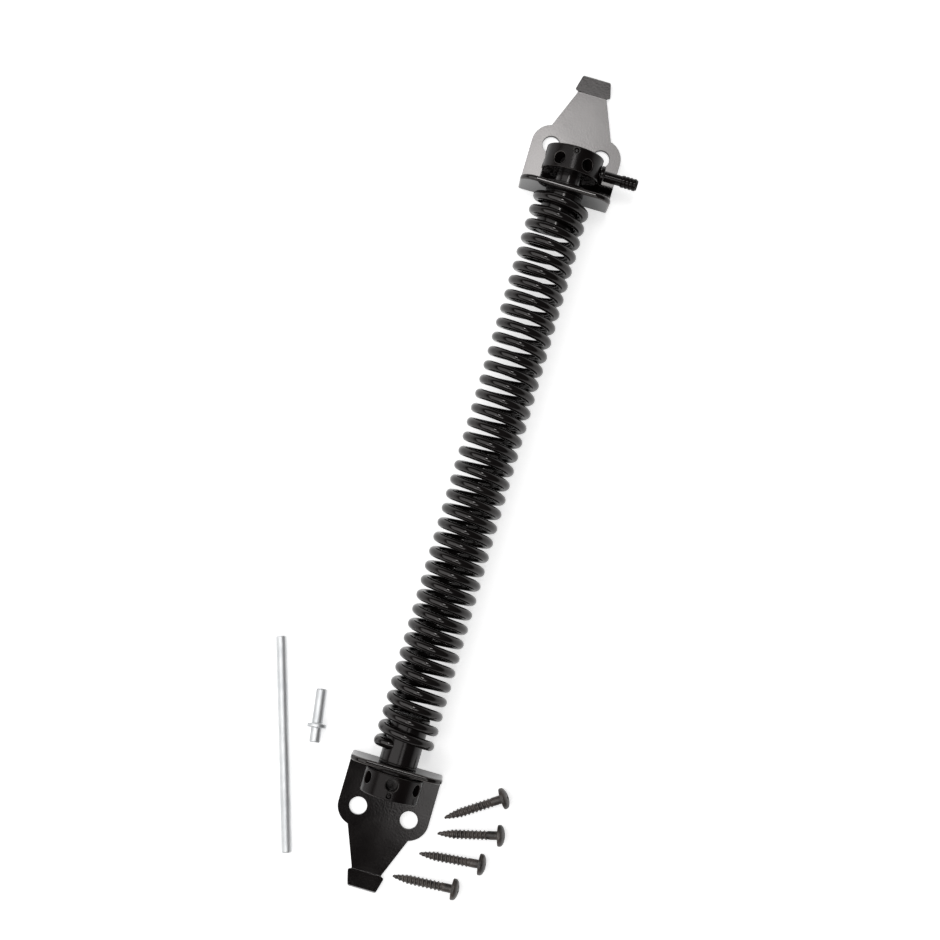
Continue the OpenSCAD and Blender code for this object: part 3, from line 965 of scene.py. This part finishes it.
class CLOSER_OT_drums(bpy.types.Operator):
    """Turns both winding drums, with their winding holes and lock pin holes"""

    bl_idname = "closer.drums"
    bl_label = "Drums"

    def execute(self, context):
        sizes = context.scene.closer_head
        lock_mouth = 0.12 * MM
        for end, place in HEADS.items():
            first_hole = place.inverted() @ Vector(WINDING_HOLES[end]["pos_m"])
            first_turn = math.atan2(first_hole.y, first_hole.x)
            near, far = depths(end, "drum")
            lock_row = sum(depths(end, "lock_pin")) / 2
            bores = [Bore(turn, first_hole.z, sizes.hole, sizes.hole_mouth, sizes.hole_floor)
                     for turn in turns(WINDING_HOLE_COUNT, first_turn)]
            bores += [Bore(turn, lock_row, sizes.lock_pin + SLACK, lock_mouth, sizes.hole_floor)
                      for turn in (QUARTER, -QUARTER)]
            piece = mesh_object(f"{end}_drum_turned", drum_skin(sizes, near, far, bores), place)
            enamel = paint_turned("drum enamel", axis=1, gloss=0.19)
            dress(piece, enamel, f"{end}_drum")
            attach(piece, f"{end}_head")
        return {"FINISHED"}


class CLOSER_OT_spindles(bpy.types.Operator):
    """Turns both spindles, with a peened end and a slot for the wire's tail"""

    bl_idname = "closer.spindles"
    bl_label = "Spindles"

    def execute(self, context):
        sizes = context.scene.closer_head
        spring = context.scene.closer_spring
        tails = {"lower": (spring.start, spring.lower_end, -1),
                 "upper": (spring.start, spring.lower_end + spring.pitch * spring.turns, 1)}
        for end, place in HEADS.items():
            inner, outer = depths(end, "spindle")
            drum_far = depths(end, "drum")[1]
            piece = turned_piece(f"{end}_spindle_turned", [
                # Shallow ring in the plug's inner end
                (0, inner, 0),
                (2.6 * MM, inner, 0.5 * MM),
                (3.2 * MM, inner + 0.6 * MM, 0.5 * MM),
                (4.0 * MM, inner, 0.5 * MM),
                # Plug, shoulder and journal
                (sizes.plug, inner, 1.1 * MM),
                (sizes.plug, -sizes.shoulder, 0.4 * MM),
                (sizes.journal, -sizes.shoulder, 0.2 * MM),
                (sizes.journal, drum_far - 0.2 * MM, 0.2 * MM),
                # Peened end with its dish
                (sizes.journal + 0.25 * MM, drum_far + 0.1 * MM, 0.25 * MM),
                (sizes.journal - 0.6 * MM, outer - 0.15 * MM, 0.8 * MM),
                (2.4 * MM, outer - 0.05 * MM, 0.6 * MM),
                (1.6 * MM, outer - 0.5 * MM, 0.5 * MM),
                (0, outer - 0.6 * MM, 0),
            ], place)
            cut_out(piece, self.tail_slot(spring, *tails[end]))
            enamel = paint_turned("spindle enamel", axis=1, gloss=0.12, shine=0.3)
            dress(piece, enamel, f"{end}_spindle")
            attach(piece, f"{end}_head")
        return {"FINISHED"}

    def tail_slot(self, spring, turn, along, way):
        """A round slot along the wire's straight tail."""
        sides = 24
        room = 0.25 * MM
        out = Vector((math.cos(turn), 0, math.sin(turn)))
        side = way * Vector((-math.sin(turn), 0, math.cos(turn)))
        origin = Vector((0, along, AXIS_HEIGHT)) + spring.tail_bend * side
        heading = Matrix((side, out.cross(side), out)).transposed().to_4x4()
        radius = spring.wire + room
        floor = spring.coil - spring.tail_bend - spring.tail - SLACK
        beyond = 3 * spring.coil
        cutter = Skin()
        cutter.turned([(0, floor, 0), (radius, floor, 0), (radius, beyond, 0), (0, beyond, 0)], sides)
        return mesh_object("tail_slot_cutter", cutter, Matrix.Translation(origin) @ heading)


class CLOSER_OT_washers(bpy.types.Operator):
    """Makes the thrust washers under the drums and the seat washers under the plugs"""

    bl_idname = "closer.washers"
    bl_label = "Washers"

    def execute(self, context):
        sizes = context.scene.closer_head
        radii = {"thrust_washer": sizes.thrust_washer, "seat_washer": sizes.seat_washer}
        for end, place in HEADS.items():
            for part, radius in radii.items():
                near, far = depths(end, part)
                middle = (near + far) / 2
                rounding = (far - near) / 4
                piece = turned_piece(f"{end}_{part}_ring", [
                    (sizes.washer_bore, middle, 0),
                    (sizes.washer_bore, near, rounding),
                    (radius, near, rounding),
                    (radius, far, rounding),
                    (sizes.washer_bore, far, rounding),
                    (sizes.washer_bore, middle, 0),
                ], place)
                enamel = paint_turned("washer enamel", axis=1, gloss=0.16)
                dress(piece, enamel, f"{end}_{part}")
                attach(piece, f"{end}_head")
        return {"FINISHED"}


class CLOSER_OT_lock_pins(bpy.types.Operator):
    """Makes the cross pins that lock the drums to their spindles"""

    bl_idname = "closer.lock_pins"
    bl_label = "Lock pins"

    def execute(self, context):
        radius = context.scene.closer_head.lock_pin
        for end in ENDS:
            low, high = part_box(f"{end}_lock_pin")
            middle = (low + high) / 2
            foot = Matrix.Translation((middle.x, middle.y, low.z))
            top = high.z - low.z
            piece = turned_piece(f"{end}_lock_pin_rod", [
                (0, 0, 0),
                (radius, 0, 0.5 * MM),
                (radius, top, 0.5 * MM),
                (0, top, 0),
            ], foot, sides=32)
            enamel = paint_turned("lock pin black", axis=2, gloss=0.19)
            dress(piece, enamel, f"{end}_lock_pin")
            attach(piece, f"{end}_head")
        return {"FINISHED"}


# Pins, rod and screws, turned about Z


def collared_profile(sizes, tip):
    """A stop pin's profile: seat, collar, shank and then the corners of its outer end."""
    collar_top = sizes.collar_top()
    return [
        (0, 0, 0),
        (sizes.pin - 0.1 * MM, 0, 0.6 * MM),
        (sizes.pin, 0.8 * MM, 0.4 * MM),
        (sizes.pin, sizes.pin_seat, 0.15 * MM),
        (sizes.collar, sizes.pin_seat, 0.3 * MM),
        (sizes.collar, collar_top, 0.4 * MM),
        (sizes.pin, collar_top, 0.3 * MM),
        *[(radius, collar_top + along, rounding) for radius, along, rounding in tip],
    ]


def lying(at, heading, tilt):
    """A piece's axis laid along a heading, its far end raised by the tilt."""
    laid = Matrix.Rotation(heading, 4, "Z") @ Matrix.Rotation(QUARTER - tilt, 4, "Y")
    return Matrix.Translation(at) @ laid


class CLOSER_OT_stop_pin(bpy.types.Operator):
    """Turns the fitted stop pin, with its collar and ridged end"""

    bl_idname = "closer.stop_pin"
    bl_label = "Stop pin"

    def execute(self, context):
        sizes = context.scene.closer_kit
        low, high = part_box("stop_pin")
        end = sizes.pin_free
        pitch = sizes.ridge_pitch
        ridges = 4
        lead = 0.4
        flank = 0.2
        plain_end = 0.5 * MM
        tip = [(sizes.pin, end - (ridges + lead) * pitch, 0.2 * MM)]
        for k in range(ridges, 0, -1):
            base = end - plain_end - k * pitch
            tip += [
                (sizes.ridge, base + flank * pitch, 0.25 * MM),
                (sizes.ridge, base + (1 - flank) * pitch, 0.25 * MM),
                (sizes.pin, base + pitch, 0.12 * MM),
            ]
        tip += [(sizes.pin - 0.1 * MM, end, 0.5 * MM), (0, end, 0)]
        foot = Matrix.Translation((low.x, (low.y + high.y) / 2, AXIS_HEIGHT))
        place = foot @ Matrix.Rotation(QUARTER, 4, "Y")
        piece = turned_piece("stop_pin_turned", collared_profile(sizes, tip), place)
        enamel = paint_turned("pin black turned", axis=0, gloss=0.14)
        dress(piece, enamel, "stop_pin")
        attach(piece, "stop_pin")
        return {"FINISHED"}


class CLOSER_OT_loose_rods(bpy.types.Operator):
    """Makes the loose winding rod and the loose collar pin"""

    bl_idname = "closer.loose_rods"
    bl_label = "Winding rod and collar pin"

    rod_heading: angle("Rod heading", "Heading of the rod from +X towards +Y", 108)
    pin_heading: angle("Pin heading", "Heading of the pin from +X towards +Y", 99)
    pin_place: lengths("Pin place", "Where the pin's collar lies", (-0.037, 0.028))

    def execute(self, context):
        sizes = context.scene.closer_kit
        low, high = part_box("winding_rod")
        middle = (low + high) / 2
        half = sizes.rod_length / 2
        rod = turned_piece("winding_rod_drawn", [
            (0, -half, 0),
            (sizes.rod - 0.15 * MM, -half, 0.35 * MM),
            (sizes.rod, 0.5 * MM - half, 0.5 * MM),
            (sizes.rod, half - 0.5 * MM, 0.5 * MM),
            (sizes.rod - 0.15 * MM, half, 0.35 * MM),
            (0, half, 0),
        ], lying(middle, self.rod_heading, 0))
        dress(rod, finish("rod zinc", zinc_finish, self.rod_heading), "winding_rod")
        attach(rod, "winding_rod")

        tilt = math.atan((sizes.collar - sizes.pin) / sizes.pin_free)
        end = sizes.pin_free
        tip = [
            (sizes.pin, end - 0.7 * MM, 0.5 * MM),
            (sizes.pin - 0.2 * MM, end, 0.4 * MM),
            (0, end, 0),
        ]
        at = Vector((*self.pin_place, sizes.collar * math.cos(tilt)))
        place = lying(at, self.pin_heading, -tilt) @ Matrix.Translation((0, 0, -sizes.collar_top()))
        pin = turned_piece("collar_pin_turned", collared_profile(sizes, tip), place)
        dress(pin, finish("pin zinc", zinc_finish, self.pin_heading), "collar_pin")
        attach(pin, "collar_pin")
        return {"FINISHED"}


def screw_skin(sizes):
    """A pointed screw with a rolled helical thread and a pan head, from its point up."""
    sides = 32
    steps_per_thread = 10
    dome_steps = 9
    crest_half = 0.3
    point_swell = 0.6
    crest_swell = 0.8
    crest_wear = 3
    head_wear = 0.7
    skin = Skin()
    around = turns(sides)
    blunt = 0.3 * sizes.thread
    thread_top = sizes.screw_length - sizes.screw_plain
    shank = (sizes.screw + sizes.screw_core) / 2
    rings = [skin.ring([Vector((0, 0, 0))], 1.0)]
    count = round(thread_top / sizes.thread * steps_per_thread)
    for k in range(1, count + 1):
        along = k * thread_top / count
        share = min(1.0, (along + blunt) / (sizes.screw_point + blunt)) ** point_swell
        fade = min(1.0, (thread_top - along) / sizes.thread)
        core = sizes.screw_core + (shank - sizes.screw_core) * (1 - fade)
        ring = []
        for turn in around:
            phase = (along / sizes.thread - turn / math.tau) % 1
            lift = max(0.0, 1 - abs(phase - 0.5) / crest_half) * fade
            radius = share * (core + (sizes.screw - core) * lift ** crest_swell)
            ring += skin.spun(radius, along, [turn], lift ** crest_wear)
        rings.append(ring)
    top = sizes.screw_length
    rim = sizes.head_height / 3
    crown = sizes.head_height - rim
    rises = [k * QUARTER / dome_steps for k in range(1, dome_steps)]
    dome = [(sizes.head * math.cos(a), top + rim + crown * math.sin(a), 0) for a in rises]
    profile = eased([
        (shank, thread_top, 0),
        (shank, thread_top + 0.1 * MM, 0.2 * MM),
        (shank, top, 0.5 * MM),
        (sizes.head, top, 0.35 * MM),
        (sizes.head, top + rim, 0.3 * MM),
        *dome,
        (0, top + sizes.head_height, 0),
    ])
    rings += [skin.spun(radius, along, around, head_wear * wear) for radius, along, wear in profile[1:]]
    skin.chain(rings)
    return skin


def recess_skin(sizes):
    """The cross recess as a tapering solid: its two plus-shaped ends and the walls between."""
    floor_share = 0.55
    mouth_share = 1.25
    skin = Skin()
    top = sizes.screw_length + sizes.head_height
    quarters = [Matrix.Rotation(k * QUARTER, 3, "Z") for k in range(4)]
    outlines = []
    for share, depth in ((floor_share, sizes.recess_depth), (mouth_share, -sizes.recess_depth)):
        arm = sizes.recess / 2 * share
        half = sizes.recess_width / 2 * (0.5 + 0.5 * share)
        blade = [Vector((x, y, top - depth)) for x, y in ((arm, -half), (arm, half), (half, half))]
        outlines.append(skin.ring([quarter @ point for quarter in quarters for point in blade]))
    skin.bridge(*outlines)
    for ring in outlines:
        skin.faces.append(ring[2::3])
        skin.faces += [[ring[3 * k + step] for step in (-1, 0, 1, 2)] for k in range(4)]
    return skin


class CLOSER_OT_screws(bpy.types.Operator):
    """Rolls the four mounting screws and lays them beside the closer"""

    bl_idname = "closer.screws"
    bl_label = "Mounting screws"

    tips_across: lengths("Across", "Distances of the points from the closer's axis",
                         (0.025, 0.024, 0.019, 0.011))
    tips_along: lengths("Along", "Distances of the points from the lower screw holes",
                        (0.005, -0.002, -0.012, -0.024))
    headings: FloatVectorProperty(name="Headings", description="Headings from +X towards +Y", size=4,
                                  default=[math.radians(a) for a in (35, 15, 7, 5)], unit="ROTATION")

    def execute(self, context):
        sizes = context.scene.closer_kit
        roll_step = math.radians(37)
        off_facets = math.radians(2.5)
        screw = mesh_object("screw_blank", screw_skin(sizes))
        recess_turn = Matrix.Rotation(off_facets, 4, "Z")
        cut_out(screw, mesh_object("recess_cutter", recess_skin(sizes), recess_turn))
        tilt = math.atan((sizes.head - sizes.screw) / (sizes.screw_length - sizes.screw_point))
        height = sizes.screw * math.cos(tilt) - sizes.screw_point * math.sin(tilt)
        rows = zip(self.tips_across, self.tips_along, self.headings)
        for k, (across, along, heading) in enumerate(rows):
            at = Vector((across, along, height))
            roll = Matrix.Rotation(k * roll_step, 4, "Z")
            mesh = screw.data.copy()
            mesh.transform(lying(at, heading, tilt) @ roll)
            node = f"mounting_screw_{k + 1}"
            piece = bpy.data.objects.new(f"{node}_rolled", mesh)
            context.scene.collection.objects.link(piece)
            dress(piece, finish("screw oxide", oxide_finish), node)
            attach(piece, node)
        bpy.data.objects.remove(screw)
        return {"FINISHED"}


# Stage


# Name, place, point that it faces, width and height, and radiance
SOFTBOXES = (
    ("left panel", (-0.70, 0.05, 1.05), (0.0, 0.12, 0.0), (1.3, 1.3), 1.75),
    ("back softbox", (0.0, 0.62, 1.5), (0.0, 0.29, 0.0), (0.24, 0.36), 8.8),
    ("back softbox core", (-0.045, 0.565, 1.5), (0.0, 0.29, 0.0), (0.14, 0.26), 7.4),
    ("front softbox", (-0.10, -0.58, 1.5), (0.0, 0.30, 0.0), (0.9, 0.26), 4.2),
    ("right softbox", (0.24, -0.20, 1.5), (0.02, 0.0, 0.0), (0.28, 0.40), 2.4),
)


def floor_paper(colour):
    """Matt paper that shows as white and keeps the shadows. Close to a piece its glow, as seen in
    reflections, is darkened by ambient occlusion: painted shade.
    """
    near = 0.3
    far = 1.6
    near_glow = (0.6, 0.6, 0.6)
    far_glow = (0.9, 0.9, 0.9)
    shade_reach = 0.03
    material, bench = new_finish("floor paper")
    path = bench.node("ShaderNodeLightPath")
    # Painted shade: ambient occlusion dims the glow that reflections of the paper show near any piece
    painted_shade_openness = bench.node("ShaderNodeAmbientOcclusion", {"samples": 4}, {"Distance": shade_reach})["AO"]
    mirrored = path["Is Glossy Ray"] + path["Is Transmission Ray"]
    direct = (path["Is Camera Ray"] + mirrored * painted_shade_openness).clamped()
    matt = bench.node("ShaderNodeBsdfDiffuse", {}, {"Color": (*colour, 1.0)})["BSDF"]
    out = bench.node("ShaderNodeVectorMath", {"operation": "LENGTH"}, {0: bench.place()})["Value"]
    level = bench.mixed(out.between(near, far), near_glow, far_glow)
    glow = bench.node("ShaderNodeEmission", {}, {"Color": level})["Emission"]
    lit = bench.node("ShaderNodeAddShader", {}, {0: matt, 1: glow})["Shader"]
    paper = bench.node("ShaderNodeMixShader", {}, {0: direct, 1: matt, 2: lit})["Shader"]
    bench.node("ShaderNodeOutputMaterial", {}, {"Surface": paper})
    return material


class CLOSER_OT_stage(bpy.types.Operator):
    """Sets up the floor, the dim studio, its softboxes and the camera"""

    bl_idname = "closer.stage"
    bl_label = "Stage"

    def execute(self, context):
        stage = context.scene.closer_stage
        context.scene.view_settings.view_transform = "Standard"
        self.lay_floor(stage)
        self.light_world(context.scene)
        for row in SOFTBOXES:
            self.hang_softbox(context.scene, *row)
        self.set_camera(context.scene, stage)
        return {"FINISHED"}

    def lay_floor(self, stage):
        """A wide sheet of paper under the closer."""
        half = 4.0
        corners = ((-half, -half, 0), (half, -half, 0), (half, half, 0), (-half, half, 0))
        skin = Skin()
        skin.faces.append(skin.ring([Vector(corner) for corner in corners]))
        floor = mesh_object("studio_floor", skin)
        floor.data.materials.append(floor_paper(stage.floor))

    def light_world(self, scene):
        """A white wall round the horizon under a dim ceiling."""
        wall = (1.0, 1.0, 1.0)
        ceiling = (0.08, 0.08, 0.08)
        wall_top = math.sin(math.radians(8))
        ceiling_from = math.sin(math.radians(20))
        world = bpy.data.worlds.new("studio")
        scene.world = world
        world.use_nodes = True
        bench = Bench(world.node_tree)
        way = bench.node("ShaderNodeTexCoord")["Generated"]
        rise = bench.node("ShaderNodeSeparateXYZ", {}, {"Vector": way})["Z"]
        glow = bench.mixed(rise.between(wall_top, ceiling_from), wall, ceiling)
        room = bench.node("ShaderNodeBackground", {}, {"Color": glow})
        bench.node("ShaderNodeOutputWorld", {}, {"Surface": room["Background"]})

    def hang_softbox(self, scene, name, place, aim, size, radiance):
        """A rectangular lamp, as bright per area as its radiance says."""
        lamp = bpy.data.lights.new(name, "AREA")
        lamp.shape = "RECTANGLE"
        lamp.size = size[0]
        lamp.size_y = size[1]
        lamp.energy = radiance * math.pi * size[0] * size[1]
        holder = bpy.data.objects.new(name, lamp)
        scene.collection.objects.link(holder)
        holder.location = place
        holder.rotation_euler = (Vector(aim) - Vector(place)).to_track_quat("-Z", "Y").to_euler()

    def set_camera(self, scene, stage):
        """The camera at its place, level with +Y up and then rolled."""
        lens = bpy.data.cameras.new("camera")
        lens.lens = stage.lens
        lens.sensor_width = 36.0
        lens.clip_start = 0.01
        camera = bpy.data.objects.new("camera", lens)
        scene.collection.objects.link(camera)
        back = (Vector(stage.camera_place) - Vector(stage.camera_aim)).normalized()
        right = Vector((0, 1, 0)).cross(back).normalized()
        level = Matrix((right, back.cross(right), back)).transposed().to_4x4()
        roll = Matrix.Rotation(stage.camera_roll, 4, "Z")
        camera.matrix_world = Matrix.Translation(stage.camera_place) @ level @ roll
        scene.camera = camera


# Add-on


class CLOSER_PT_panel(bpy.types.Panel):
    """Lists what builds the closer"""

    bl_idname = "CLOSER_PT_panel"
    bl_label = "Gate spring closer"
    bl_space_type = "VIEW_3D"
    bl_region_type = "UI"
    bl_category = "Closer"

    def draw(self, context):
        for operator in OPERATORS:
            self.layout.operator(operator.bl_idname)
        for group in GROUPS:
            settings = getattr(context.scene, group)
            box = self.layout.box()
            for name in settings.bl_rna.properties.keys():
                if name not in ("rna_type", "name"):
                    box.prop(settings, name)


GROUPS = {
    "closer_bracket": BracketSizes,
    "closer_spring": SpringSizes,
    "closer_head": HeadSizes,
    "closer_kit": KitSizes,
    "closer_finishes": Finishes,
    "closer_stage": StageSettings,
}
OPERATORS = (
    CLOSER_OT_stage,
    CLOSER_OT_brackets,
    CLOSER_OT_spring,
    CLOSER_OT_drums,
    CLOSER_OT_spindles,
    CLOSER_OT_washers,
    CLOSER_OT_lock_pins,
    CLOSER_OT_stop_pin,
    CLOSER_OT_loose_rods,
    CLOSER_OT_screws,
)


def register():
    for cls in (*GROUPS.values(), *OPERATORS, CLOSER_PT_panel):
        bpy.utils.register_class(cls)
    for group, cls in GROUPS.items():
        setattr(bpy.types.Scene, group, PointerProperty(type=cls))


def unregister():
    for group in GROUPS:
        delattr(bpy.types.Scene, group)
    for cls in reversed((*GROUPS.values(), *OPERATORS, CLOSER_PT_panel)):
        bpy.utils.unregister_class(cls)


def main():
    """Builds every piece and the stage."""
    register()
    for operator in OPERATORS:
        section, action = operator.bl_idname.split(".")
        getattr(getattr(bpy.ops, section), action)()


if __name__ == "__main__":
    main()
